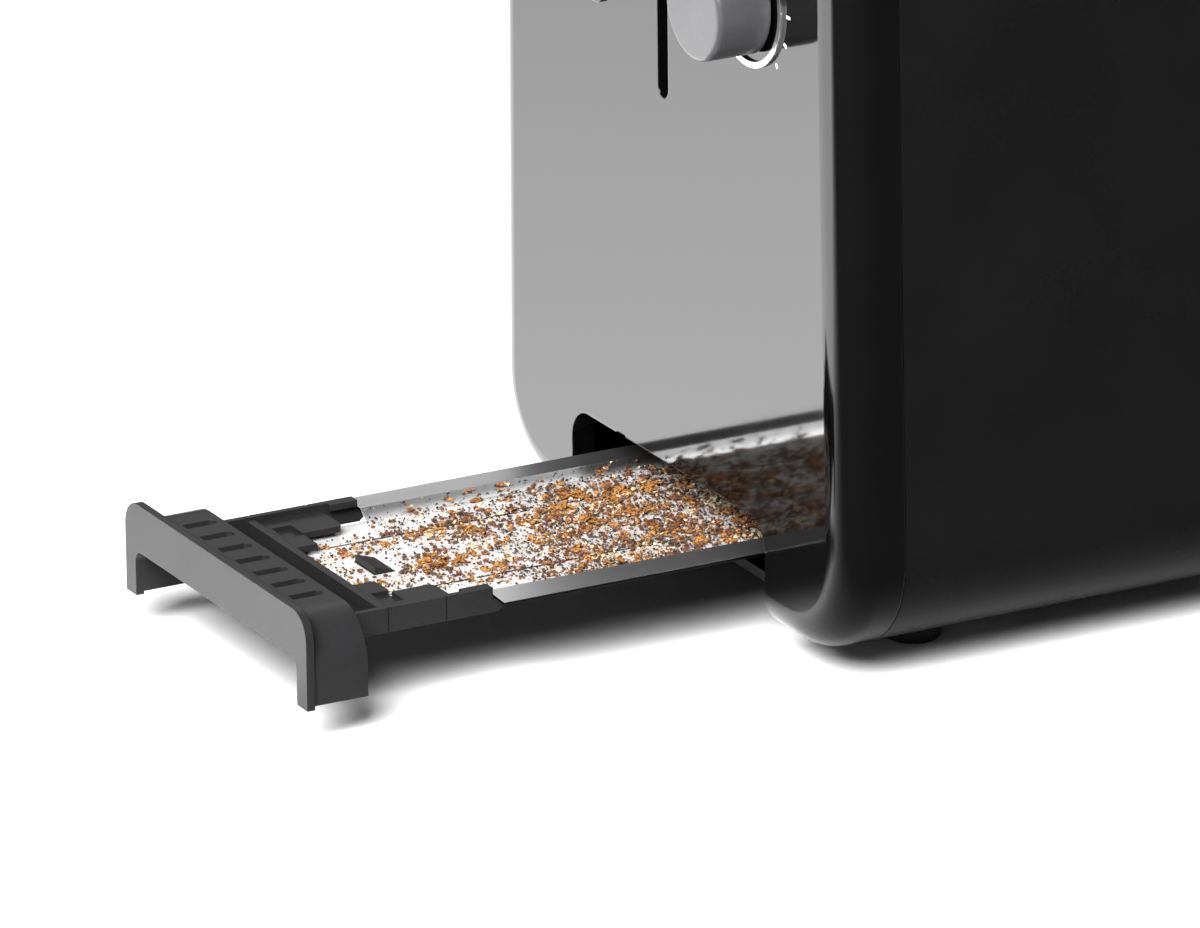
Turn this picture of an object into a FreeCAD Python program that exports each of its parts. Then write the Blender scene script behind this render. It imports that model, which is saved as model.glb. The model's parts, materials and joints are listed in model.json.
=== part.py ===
import FreeCAD, Part
import Sketcher
import math
import os
import re

# Pop up toaster with two bread slots, modelled in millimetres.
# +X runs along the body towards the cord end, +Z is up, and the crumb tray pulls
# out towards -X.  The origin is on the table, under the middle of the body.
# The tray is modelled pulled out by tray_travel, with the bread carriage raised.

SIZES = {
    # housing
    "body_end": 145, "body_half": 85, "body_mid": 100, "side_draft": 0.02,
    "body_low": 7, "body_high": 192, "skin": 2.5, "cap_deep": 15.7,
    "face_round": 9.4, "low_round": 27, "high_round": 24, "seam_gap": 0.3,
    "floor_half": 63.5, "foot_radius": 6.5, "foot_x": 107, "foot_y": 50,
    # mouth for the crumb tray
    "mouth_half": 47.6, "mouth_high": 34, "mouth_round": 8, "jamb_deep": 5.9, "jamb_skin": 2,
    "notch_y": 22.8, "notch_half": 2.2, "notch_deep": 0.4,
    # crumb tray
    "tray_travel": 118.7, "grip_half": 47, "grip_thick": 2, "grip_high": 32.3, "grip_low": 9.2,
    "grip_round": 6.7, "block_half": 46.3, "block_back": 16, "block_high": 29.6,
    "block_low": 9.9, "block_round": 11.6, "block_skin": 1.8,
    "arch_half": 41.8, "arch_high": 20.5, "arch_round": 3, "hollow_half": 37.5,
    "vent_start": 6, "vent_wide": 3, "vent_long": 8.2, "vent_pitch": 9.15, "vent_first": 27.45,
    "bar_back": 27.3, "bar_thick": 2, "bar_high": 25.5, "trough_low": 20.1, "trough_thick": 1.5,
    "cheek_half": 36, "cheek_thick": 1.6, "cheek_low": 20.1, "cheek_high": 26.1,
    "cheek_end": 57.5, "cheek_top_end": 53.7, "cheek_step": 23.3, "cheek_toe": 2.1,
    "split_first": 26.7, "split_pitch": 15, "split_wide": 0.4, "split_deep": 0.4,
    "plate_high": 24.5, "plate_thick": 1.5, "plate_inner": 14.5, "plate_step": 34,
    "plate_middle": 22.7, "plate_end": 45, "plate_round": 2, "plate_lap": 0.5,
    "window_front": 29.3, "window_back": 34.3, "window_low": 21.7, "window_high": 29.1,
    "window_deep": 1.1,
    "ledge_start": 46.5, "ledge_gap": 0.3, "flange_start": 54.2,
    "pan_front": 28, "pan_long": 200, "pan_half": 40.7, "flange_in": 32.4, "floor_edge": 29.9,
    "flange_high": 24.2, "flange_drop": 0.4, "pan_floor": 21.7, "sheet": 0.6, "lip_drop": 0.7,
    "back_rise": 2, "groove_y": 17.5, "groove_wide": 0.7, "groove_deep": 0.25,
    "groove_start": 16, "groove_stop": 8,
    "tongue_thick": 1.3, "hook_back": 39.5, "hook_long": 5, "hook_half": 5.1, "hook_rise": 1.8,
    "hook_shift": 1.1, "hook_toe": 0.2,
    "slide_gap": 0.3,
    # bread slots and heaters
    "slot_y": 22, "slot_half": 15, "slot_long": 144, "frame_thick": 1.2, "skirt_deep": 8,
    "wall_x": 86, "wall_thick": 1, "wall_half": 60, "wall_high": 180,
    "board_y": 44, "board_thick": 1, "board_long": 144, "board_low": 48, "board_high": 168,
    "ribbon_wide": 1.6, "ribbon_thick": 0.3, "ribbon_pitch": 9,
    "guide_offset": 14, "wire_radius": 0.8, "guide_low": 50, "guide_high": 172,
    "guide_half": 70, "wire_pitch": 20,
    # bread carriage and lever
    "carriage_travel": 44, "rod_x": -106, "rod_y": 16, "rod_radius": 2.5, "rod_fit": 0.05,
    "rod_low": 35, "rod_high": 179, "bush_radius": 5, "bush_low": 92, "bush_high": 122,
    "rack_top": 106, "rack_deep": 10, "rack_thick": 1.5, "rack_half": 6,
    "stem_low": 168.5, "stem_high": 174.5, "stem_half": 1, "slot_bottom": 124,
    "slot_top": 177, "slot_wide": 5, "lever_gap": 3.5, "lever_deep": 14, "lever_half": 13,
    "spring_radius": 3.9, "spring_wire": 0.5, "spring_turns": 10,
    # controls
    "pcb_x": -127, "pcb_thick": 1.6, "knob_y": -42, "knob_z": 160, "knob_radius": 13,
    "shaft_radius": 3, "panel_y": 42, "panel_half_y": 14, "panel_half_z": 21,
    "button_half_y": 11, "button_half_z": 4.5, "button_pitch": 14, "button_gap": 0.4,
    "gland_y": 50, "gland_z": 30, "gland_radius": 5.9, "gland_bore": 3.6,
    # openings and fixings in the rear end and the base
    "louvre_half": 30, "louvre_first": 96, "louvre_pitch": 10, "louvre_high": 3,
    "screw_x": 92, "screw_y": 53, "screw_radius": 1.5, "screw_head": 3.3, "screw_long": 8,
    "base_vent_first": -60, "base_vent_pitch": 20, "base_vent_wide": 4, "base_vent_half": 40,
    "tab_long": 12, "tab_inner": 46,
}

VENT_COUNT = 7
RIBBON_COUNT = 15
WIRE_COUNT = 8
RACK_BAR_COUNT = 7
SPLIT_COUNT = 2
LOUVRE_COUNT = 5
BASE_VENT_COUNT = 7

doc = FreeCAD.newDocument("pop_up_toaster")
sheet = doc.addObject("Spreadsheet::Sheet", "Dims")
for row, (word, value) in enumerate(SIZES.items(), start=1):
    sheet.set("A%d" % row, word)
    sheet.set("B%d" % row, str(value))
    sheet.setAlias("B%d" % row, word)
doc.recompute()

nodes = []


def linked(text):
    """The expression text with every size's name pointing at the sheet."""
    def name_in_sheet(match):
        word = match.group()
        return "Dims." + word if word in SIZES else word
    return re.sub(r"[a-z][a-z_0-9]*", name_in_sheet, str(text))


def bind(thing, prop, text):
    thing.setExpression(prop, linked(text))


def keep(thing, node):
    """Marks a finished sub-part: its Label names its file."""
    thing.Label = node
    nodes.append(thing)
    return thing


def block(name, x, y, z):
    """A box from pairs of expressions, lowest and highest, along X, Y and Z."""
    box = doc.addObject("Part::Box", name)
    for prop, axis, (low, high) in (("Length", "x", x), ("Width", "y", y), ("Height", "z", z)):
        bind(box, prop, "(%s) - (%s)" % (high, low))
        bind(box, "Placement.Base." + axis, low)
    return box


ALONG = {
    "x": FreeCAD.Rotation(FreeCAD.Vector(0, 1, 0), 90),
    "y": FreeCAD.Rotation(FreeCAD.Vector(1, 0, 0), -90),
    "z": FreeCAD.Rotation(),
}


def rod(name, axis, start, radius, length):
    """A cylinder from its start point, given as three expressions, along an axis."""
    bar = doc.addObject("Part::Cylinder", name)
    bar.Placement.Rotation = ALONG[axis]
    bind(bar, "Radius", radius)
    bind(bar, "Height", length)
    for letter, place in zip("xyz", start):
        bind(bar, "Placement.Base." + letter, place)
    return bar


def join(name, pieces):
    union = doc.addObject("Part::MultiFuse", name)
    union.Shapes = pieces
    return union


def group(name, pieces):
    """Separate solids that share one node."""
    bunch = doc.addObject("Part::Compound", name)
    bunch.Links = pieces
    return bunch


def less(name, base, tools):
    cut = doc.addObject("Part::Cut", name)
    cut.Base = base
    cut.Tool = tools[0] if len(tools) == 1 else join(name + "_tools", tools)
    return cut


def meet(name, first, second):
    common = doc.addObject("Part::Common", name)
    common.Base = first
    common.Tool = second
    return common


def rounded(name, base, radius, wanted):
    """Part::Fillet on the edges that wanted(edge) picks."""
    doc.recompute()
    fillet = doc.addObject("Part::Fillet", name)
    fillet.Base = base
    fillet.Edges = [(number, radius, radius)
                    for number, edge in enumerate(base.Shape.Edges, start=1) if wanted(edge)]
    return fillet


def runs_along(axis):
    """Picks straight edges that run along X, Y or Z."""
    others = [letter for letter in "xyz" if letter != axis]

    def wanted(edge):
        first = edge.Vertexes[0].Point
        last = edge.Vertexes[-1].Point
        return all(abs(getattr(first, letter) - getattr(last, letter)) < 1e-6 for letter in others)
    return wanted


def origin_plane(body, role):
    for feature in body.Origin.OriginFeatures:
        if feature.Role == role:
            return feature
    raise RuntimeError("no plane " + role)


def polygon(body, name, role, corners, offset):
    """A sketch of straight lines whose corners are pairs of expressions."""
    sketch = body.newObject("Sketcher::SketchObject", name)
    sketch.AttachmentSupport = [(origin_plane(body, role), "")]
    sketch.MapMode = "FlatFace"
    bind(sketch, "AttachmentOffset.Base.z", offset)
    count = len(corners)
    start_ring = [FreeCAD.Vector(50 * math.cos(2 * math.pi * step / count),
                                 50 * math.sin(2 * math.pi * step / count), 0)
                  for step in range(count)]
    for step in range(count):
        sketch.addGeometry(Part.LineSegment(start_ring[step], start_ring[(step + 1) % count]), False)
    for step in range(count):
        sketch.addConstraint(Sketcher.Constraint("Coincident", step, 2, (step + 1) % count, 1))
    for step, (across, up) in enumerate(corners):
        for kind, text in (("DistanceX", across), ("DistanceY", up)):
            number = sketch.addConstraint(Sketcher.Constraint(kind, -1, 1, step, 1, 1.0 + step))
            label = "%s%d" % (kind, step)
            sketch.renameConstraint(number, label)
            bind(sketch, "Constraints." + label, text)
    return sketch


def prism(name, role, corners, offset, length):
    """A body padded from one polygon."""
    body = doc.addObject("PartDesign::Body", name)
    sketch = polygon(body, name + "_sketch", role, corners, offset)
    pad = body.newObject("PartDesign::Pad", name + "_pad")
    pad.Profile = sketch
    bind(pad, "Length", length)
    doc.recompute()
    return body


def round_edges(body, name, radius, wanted):
    """A PartDesign fillet on the edges of the body's tip that wanted(edge) picks."""
    doc.recompute()
    tip = body.Tip
    picked = ["Edge%d" % number for number, edge in enumerate(tip.Shape.Edges, start=1)
              if wanted(edge)]
    fillet = body.newObject("PartDesign::Fillet", name)
    fillet.Base = (tip, picked)
    bind(fillet, "Radius", radius)
    doc.recompute()
    return fillet


def in_end(x_value):
    """Picks the edges that lie in the plane X = x_value."""
    def wanted(edge):
        box = edge.BoundBox
        return abs(box.XMin - x_value) < 1e-4 and abs(box.XMax - x_value) < 1e-4
    return wanted


def casing(name, x_low, x_high, inset, round_low_end=False, round_high_end=False):
    """The housing's outline, moved in by inset and padded along X, with its long edges
    rounded and, where asked, the outline of one end as well."""
    low = "body_low + %s" % inset
    high = "body_high - %s" % inset
    low_half = "body_half + side_draft * (body_mid - body_low) - %s" % inset
    high_half = "body_half - side_draft * (body_high - body_mid) - %s" % inset
    corners = [("-(%s)" % low_half, low), (low_half, low), (high_half, high),
               ("-(%s)" % high_half, high)]
    body = prism(name, "YZ_Plane", corners, x_low, "(%s) - (%s)" % (x_high, x_low))
    middle = (SIZES["body_low"] + SIZES["body_high"]) / 2
    along_x = runs_along("x")
    round_edges(body, name + "_low_round", "low_round - %s" % inset,
                lambda edge: along_x(edge) and edge.CenterOfMass.z < middle)
    round_edges(body, name + "_high_round", "high_round - %s" % inset,
                lambda edge: along_x(edge) and edge.CenterOfMass.z > middle)
    box = body.Shape.BoundBox
    if round_low_end:
        round_edges(body, name + "_face_round", "face_round - %s" % inset, in_end(box.XMin))
    if round_high_end:
        round_edges(body, name + "_face_round", "face_round - %s" % inset, in_end(box.XMax))
    return body


FRONT = "-body_end"
OUT = "-body_end - tray_travel"


def front_end_cap():
    outer = casing("cap_outer", FRONT, "-body_end + cap_deep", "0", round_low_end=True)
    inner = casing("cap_inner", "-body_end + skin", "-body_end + cap_deep + 1", "skin",
                   round_low_end=True)
    shell = less("cap_shell", outer, [inner])
    jamb_block = block("jamb_block", (FRONT, "-body_end + jamb_deep"),
                       ("-mouth_half - jamb_skin", "mouth_half + jamb_skin"),
                       ("body_low", "mouth_high + jamb_skin"))
    jamb = meet("jamb", jamb_block, outer)
    mouth_block = block("mouth_block", ("-body_end - 1", "-body_end + cap_deep + 2"),
                        ("-mouth_half", "mouth_half"), ("-5", "mouth_high"))
    along_x = runs_along("x")
    mouth = rounded("mouth", mouth_block, SIZES["mouth_round"],
                    lambda edge: along_x(edge) and edge.CenterOfMass.z > 0)
    lever_way = join("lever_way", [
        block("lever_way_block", ("-body_end - 1", "-body_end + skin + 1"),
              ("-slot_wide / 2", "slot_wide / 2"),
              ("slot_bottom + slot_wide / 2", "slot_top - slot_wide / 2")),
        rod("lever_way_low", "x", ("-body_end - 1", "0", "slot_bottom + slot_wide / 2"),
            "slot_wide / 2", "skin + 2"),
        rod("lever_way_high", "x", ("-body_end - 1", "0", "slot_top - slot_wide / 2"),
            "slot_wide / 2", "skin + 2")])
    knob_hole = rod("knob_hole", "x", ("-body_end - 1", "knob_y", "knob_z"), "shaft_radius + 1",
                    "skin + 2")
    panel_window = block("panel_window", ("-body_end - 1", "-body_end + skin + 1"),
                         ("panel_y - panel_half_y + 1.5", "panel_y + panel_half_y - 1.5"),
                         ("knob_z - panel_half_z + 1.5", "knob_z + panel_half_z - 1.5"))
    notch = block("catch_notch", ("-body_end - 1", "-body_end + jamb_deep + 1"),
                  ("notch_y - notch_half", "notch_y + notch_half"),
                  ("mouth_high - 1", "mouth_high + notch_deep"))
    whole = join("cap_whole", [shell, jamb])
    cut = less("cap_cut", whole, [mouth, notch, lever_way, knob_hole, panel_window])
    keep(cut, "front_end_cap")


def rear_end_cap():
    outer = casing("rear_outer", "body_end - cap_deep", "body_end", "0", round_high_end=True)
    inner = casing("rear_inner", "body_end - cap_deep - 1", "body_end - skin", "skin",
                   round_high_end=True)
    cord_hole = rod("cord_hole", "x", ("body_end - skin - 1", "gland_y", "gland_z"), "gland_radius + 0.1",
                    "skin + 2")
    louvres = [block("louvre_%d" % step, ("body_end - skin - 1", "body_end + 1"),
                     ("-louvre_half", "louvre_half"),
                     ("louvre_first + louvre_pitch * %d" % step,
                      "louvre_first + louvre_pitch * %d + louvre_high" % step))
               for step in range(LOUVRE_COUNT)]
    keep(less("rear_cut", outer, [inner, cord_hole] + louvres), "rear_end_cap")


def housing_sleeve():
    end = "body_end - cap_deep - seam_gap"
    outer = casing("sleeve_outer", "-(%s)" % end, end, "0")
    inner = casing("sleeve_inner", "-(%s) - 1" % end, "%s + 1" % end, "skin")
    floor_gap = block("floor_gap", ("-body_end", "body_end"), ("-floor_half", "floor_half"),
                      ("0", "body_low + skin + 1"))
    top_gap = block("top_gap", ("-slot_long / 2 - 10", "slot_long / 2 + 10"),
                    ("-slot_y - slot_half - 4", "slot_y + slot_half + 4"),
                    ("body_high - skin - 1", "body_high + 1"))
    keep(less("sleeve_cut", outer, [inner, floor_gap, top_gap]), "housing_sleeve")


def slot_frame():
    plate_block = block("frame_plate", ("-slot_long / 2 - 14", "slot_long / 2 + 14"),
                        ("-slot_y - slot_half - 9", "slot_y + slot_half + 9"),
                        ("body_high", "body_high + frame_thick"))
    plate = rounded("frame_plate_round", plate_block, 8, runs_along("z"))
    pieces = [plate]
    holes = []
    for side, centre in (("near", "-slot_y"), ("far", "slot_y")):
        pieces.append(block("skirt_" + side, ("-slot_long / 2 - 1", "slot_long / 2 + 1"),
                            ("%s - slot_half - 1" % centre, "%s + slot_half + 1" % centre),
                            ("body_high - skirt_deep", "body_high + frame_thick")))
        holes.append(block("slot_" + side, ("-slot_long / 2", "slot_long / 2"),
                           ("%s - slot_half" % centre, "%s + slot_half" % centre),
                           ("body_high - skirt_deep - 1", "body_high + frame_thick + 1")))
    keep(less("frame_cut", join("frame_whole", pieces), holes), "slot_frame")


SCREW_PLACES = [(along, across) for along in ("-screw_x", "screw_x")
                for across in ("-screw_y", "screw_y")]


def base_plate():
    end = "body_end - cap_deep - 0.6"
    plate = block("base_block", ("-(%s)" % end, end), ("-floor_half + 0.3", "floor_half - 0.3"),
                  ("body_low", "body_low + skin"))
    holes = [rod("base_hole_%d" % step, "z", (along, across, "body_low - 1"),
                 "screw_radius + 0.5", "skin + 2")
             for step, (along, across) in enumerate(SCREW_PLACES)]
    vents = []
    for step in range(BASE_VENT_COUNT):
        start = "base_vent_first + base_vent_pitch * %d" % step
        vents.append(block("base_vent_%d" % step, (start, start + " + base_vent_wide"),
                           ("-base_vent_half", "base_vent_half"),
                           ("body_low - 1", "body_low + skin + 1")))
    keep(less("base_cut", plate, holes + vents), "base_plate")
    screws = []
    for step, (along, across) in enumerate(SCREW_PLACES):
        head = rod("screw_head_%d" % step, "z", (along, across, "body_low - 1.5"),
                   "screw_head", "1.5")
        shank = rod("screw_shank_%d" % step, "z", (along, across, "body_low"), "screw_radius",
                    "screw_long")
        screws.append(join("screw_%d" % step, [head, shank]))
    keep(group("base_screw_group", screws), "base_screws")


def feet():
    for end, along in (("front", "-foot_x"), ("rear", "foot_x")):
        for side, across in (("near", "-foot_y"), ("far", "foot_y")):
            name = "foot_%s_%s" % (end, side)
            pad = rod(name + "_pad", "z", (along, across, "0"), "foot_radius", "body_low")
            soft = rounded(name + "_round", pad, 0.8, lambda edge: edge.BoundBox.ZMax < 0.01)
            keep(soft, name)


def inner_walls():
    for end, sign in (("front", "-1"), ("rear", "1")):
        # plate between the heating chamber and the end compartment, with a screwed foot
        low_x, high_x = ("-wall_x", "-wall_x + wall_thick") if end == "front" else (
            "wall_x - wall_thick", "wall_x")
        plate = block(end + "_wall_plate", (low_x, high_x), ("-wall_half", "wall_half"),
                      ("body_low + skin + 0.05", "wall_high"))
        feet_pair = []
        for side, (from_y, to_y) in (("near", ("-wall_half", "-tab_inner")),
                                      ("far", ("tab_inner", "wall_half"))):
            foot_x = (("-wall_x - tab_long", "-wall_x") if end == "front"
                      else ("wall_x", "wall_x + tab_long"))
            tab = block("%s_wall_foot_%s" % (end, side), foot_x, (from_y, to_y),
                        ("body_low + skin + 0.05", "body_low + skin + 1.05"))
            hole = rod("%s_wall_hole_%s" % (end, side), "z",
                       ("%s * screw_x" % sign, "-screw_y" if side == "near" else "screw_y",
                        "body_low"), "screw_radius + 0.05", "6")
            feet_pair.append(less("%s_wall_tab_%s" % (end, side), tab, [hole]))
        cuts = []
        if end == "front":
            cuts.append(block("tray_way", ("-wall_x - 1", "-wall_x + 2"), ("-44", "44"), ("0", "30")))
            for side, centre in (("near", "-slot_y"), ("far", "slot_y")):
                cuts.append(block("rack_way_" + side, ("-wall_x - 1", "-wall_x + 2"),
                                  ("%s - 2" % centre, "%s + 2" % centre),
                                  ("rack_top - rack_deep - carriage_travel - 3", "rack_top + 3")))
        whole = join(end + "_wall_whole", [plate] + feet_pair)
        keep(less(end + "_wall_cut", whole, cuts) if cuts else whole, end + "_inner_wall")


def tray_rails():
    for side, (out_low, out_high, in_low, in_high) in (
            ("near", ("-pan_half - 1.8", "-pan_half - 0.6", "-pan_half - 0.6", "-pan_half + 2.4")),
            ("far", ("pan_half + 0.6", "pan_half + 1.8", "pan_half - 2.4", "pan_half + 0.6"))):
        ends = ("-wall_x + wall_thick", "wall_x - wall_thick")
        shelf_top = "flange_high - flange_drop - lip_drop - 0.5"
        web = block("rail_web_" + side, ends, (out_low, out_high), ("%s - 1.2" % shelf_top, "27.2"))
        shelf = block("rail_shelf_" + side, ends, (in_low, in_high),
                      ("%s - 1.2" % shelf_top, shelf_top))
        hood = block("rail_hood_" + side, ends, (in_low, in_high), ("26", "27.2"))
        keep(join("rail_" + side, [web, shelf, hood]), "tray_rail_" + side)


def heaters():
    low_x = "-board_long / 2"
    for side, centre in (("near", "-board_y"), ("middle", "0"), ("far", "board_y")):
        board = block("board_" + side, (low_x, "board_long / 2"),
                      ("%s - board_thick / 2" % centre, "%s + board_thick / 2" % centre),
                      ("board_low", "board_high"))
        keep(board, "mica_board_" + side)
        turns = []
        for step in range(RIBBON_COUNT):
            from_x = "%s + 8 + ribbon_pitch * %d" % (low_x, step)
            span = (from_x, from_x + " + ribbon_wide")
            outer = block("ribbon_out_%s_%d" % (side, step), span,
                          ("%s - board_thick / 2 - 0.05 - ribbon_thick" % centre,
                           "%s + board_thick / 2 + 0.05 + ribbon_thick" % centre),
                          ("board_low - 0.05 - ribbon_thick", "board_high + 0.05 + ribbon_thick"))
            inner = block("ribbon_in_%s_%d" % (side, step),
                          (from_x + " - 1", from_x + " + ribbon_wide + 1"),
                          ("%s - board_thick / 2 - 0.05" % centre,
                           "%s + board_thick / 2 + 0.05" % centre),
                          ("board_low - 0.05", "board_high + 0.05"))
            turns.append(less("ribbon_turn_%s_%d" % (side, step), outer, [inner]))
        keep(group("ribbon_" + side, turns), "heating_ribbon_" + side)
    for side, (low_y, high_y) in (("near", ("-wall_half + 5.4", "-wall_half + 6")),
                                  ("far", ("wall_half - 6", "wall_half - 5.4"))):
        keep(block("reflector_" + side, ("-wall_x + wall_thick", "wall_x - wall_thick"),
                   (low_y, high_y), ("34", "176")), "reflector_" + side)


def bread_guides():
    for side, slot in (("near", "-slot_y"), ("far", "slot_y")):
        for place, sign in (("outer", "-" if side == "near" else "+"),
                            ("inner", "+" if side == "near" else "-")):
            name = "bread_guide_%s_%s" % (side, place)
            centre = "%s %s guide_offset" % (slot, sign)
            wires = [rod("%s_wire_%d" % (name, step), "z",
                         ("-guide_half + wire_pitch * %d" % step, centre, "guide_low"),
                         "wire_radius", "guide_high - guide_low") for step in range(WIRE_COUNT)]
            rails = [rod("%s_rail_%d" % (name, step), "x", ("-guide_half - 1", centre, height),
                         "wire_radius", "2 * guide_half + 2")
                     for step, height in enumerate(("guide_low", "guide_high"))]
            keep(join(name + "_fuse", wires + rails), name)


def carriage():
    for side, across in (("near", "-rod_y"), ("far", "rod_y")):
        keep(rod("guide_rod_" + side, "z", ("rod_x", across, "rod_low"), "rod_radius",
                 "rod_high - rod_low"), "guide_rod_" + side)
    keep(block("lower_bracket", ("rod_x - 12", "-wall_x"), ("-24", "38"),
               ("rod_low - 2", "rod_low")), "rod_bracket_lower")
    keep(block("upper_bracket", ("rod_x - 6", "-wall_x"), ("-24", "24"),
               ("rod_high", "rod_high + 2")), "rod_bracket_upper")

    plate_x = ("rod_x + bush_radius", "rod_x + bush_radius + 2")
    plate = block("carriage_sheet", plate_x, ("-28", "28"), ("bush_low", "bush_high"))
    tongue = block("carriage_tongue", plate_x, ("-8", "8"), ("bush_high", "stem_high + 2"))
    bushes = []
    bores = []
    for side, across in (("near", "-rod_y"), ("far", "rod_y")):
        bushes.append(rod("bush_" + side, "z", ("rod_x", across, "bush_low"), "bush_radius",
                          "bush_high - bush_low"))
        bushes.append(block("bush_web_" + side, ("rod_x", "rod_x + bush_radius + 1"),
                            ("%s - 3.5" % across, "%s + 3.5" % across), ("bush_low", "bush_high")))
        bores.append(rod("bush_bore_" + side, "z", ("rod_x", across, "bush_low - 1"),
                         "rod_radius + rod_fit", "bush_high - bush_low + 2"))
    keep(less("carriage_cut", join("carriage_whole", [plate, tongue] + bushes), bores),
         "carriage_plate")

    for side, across in (("near", "-slot_y"), ("far", "slot_y")):
        spine = block("rack_spine_" + side, ("rod_x + bush_radius + 2", "guide_half"),
                      ("%s - rack_thick / 2" % across, "%s + rack_thick / 2" % across),
                      ("rack_top - rack_deep", "rack_top"))
        bars = [rod("rack_bar_%s_%d" % (side, step), "y",
                    ("-60 + wire_pitch * %d" % step, "%s - rack_half" % across, "rack_top"),
                    "1", "2 * rack_half") for step in range(RACK_BAR_COUNT)]
        keep(join("rack_" + side, [spine] + bars), "bread_rack_" + side)

    keep(block("lever_stem", ("-body_end - lever_gap - 8", "rod_x + bush_radius"),
               ("-stem_half", "stem_half"), ("stem_low", "stem_high")), "lever_arm")
    handle_block = block("handle_block",
                         ("-body_end - lever_gap - lever_deep", "-body_end - lever_gap"),
                         ("-lever_half", "lever_half"), ("stem_low - 6", "stem_high + 5"))
    handle = rounded("handle_round", handle_block, 3.5, lambda edge: True)
    socket = block("handle_socket", ("-body_end - lever_gap - 8", "-body_end - lever_gap + 1"),
                   ("-stem_half", "stem_half"), ("stem_low", "stem_high"))
    keep(less("handle_cut", handle, [socket]), "lever_knob")

    keep(block("armature", ("rod_x - 10", "rod_x + bush_radius"), ("22", "34"),
               ("bush_low - 2", "bush_low")), "latch_armature")
    core_top = SIZES["bush_low"] - 2 - SIZES["carriage_travel"] - 0.3
    back = block("core_back", ("rod_x - 10", "rod_x + 2"), ("22", "34"), ("rod_low", "rod_low + 3"))
    legs = [block("core_leg_%d" % step, ("rod_x - 10 + 8.5 * %d" % step, "rod_x - 6.5 + 8.5 * %d"
                                         % step), ("24", "32"), ("rod_low + 3", core_top))
            for step in range(2)]
    keep(join("core", [back] + legs), "electromagnet_core")
    coil_block = block("coil_block", ("rod_x - 12", "rod_x - 4.7"), ("21", "35"),
                       ("rod_low + 3.2", "rod_low + 9.5"))
    coil_bore = block("coil_bore", ("rod_x - 10.1", "rod_x - 6.4"), ("23.9", "32.1"),
                      ("rod_low", "rod_low + 12"))
    keep(less("coil", coil_block, [coil_bore]), "electromagnet_coil")


def return_spring():
    """A compression spring round the near guide rod, under the carriage."""
    wire = SIZES["spring_wire"]
    length = SIZES["bush_low"] - SIZES["rod_low"] - 2 * wire - 0.4
    pitch = length / SIZES["spring_turns"]
    radius = SIZES["spring_radius"]
    path = Part.makeHelix(pitch, length, radius)
    ring = Part.Wire([Part.makeCircle(wire, FreeCAD.Vector(radius, 0, 0), FreeCAD.Vector(0, 1, 0))])
    coil = Part.Wire(path).makePipeShell([ring], True, True)
    spring = doc.addObject("Part::Feature", "spring")
    spring.Shape = coil
    spring.Placement.Base = FreeCAD.Vector(SIZES["rod_x"], -SIZES["rod_y"],
                                           SIZES["rod_low"] + wire + 0.2)
    keep(spring, "return_spring")


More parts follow.
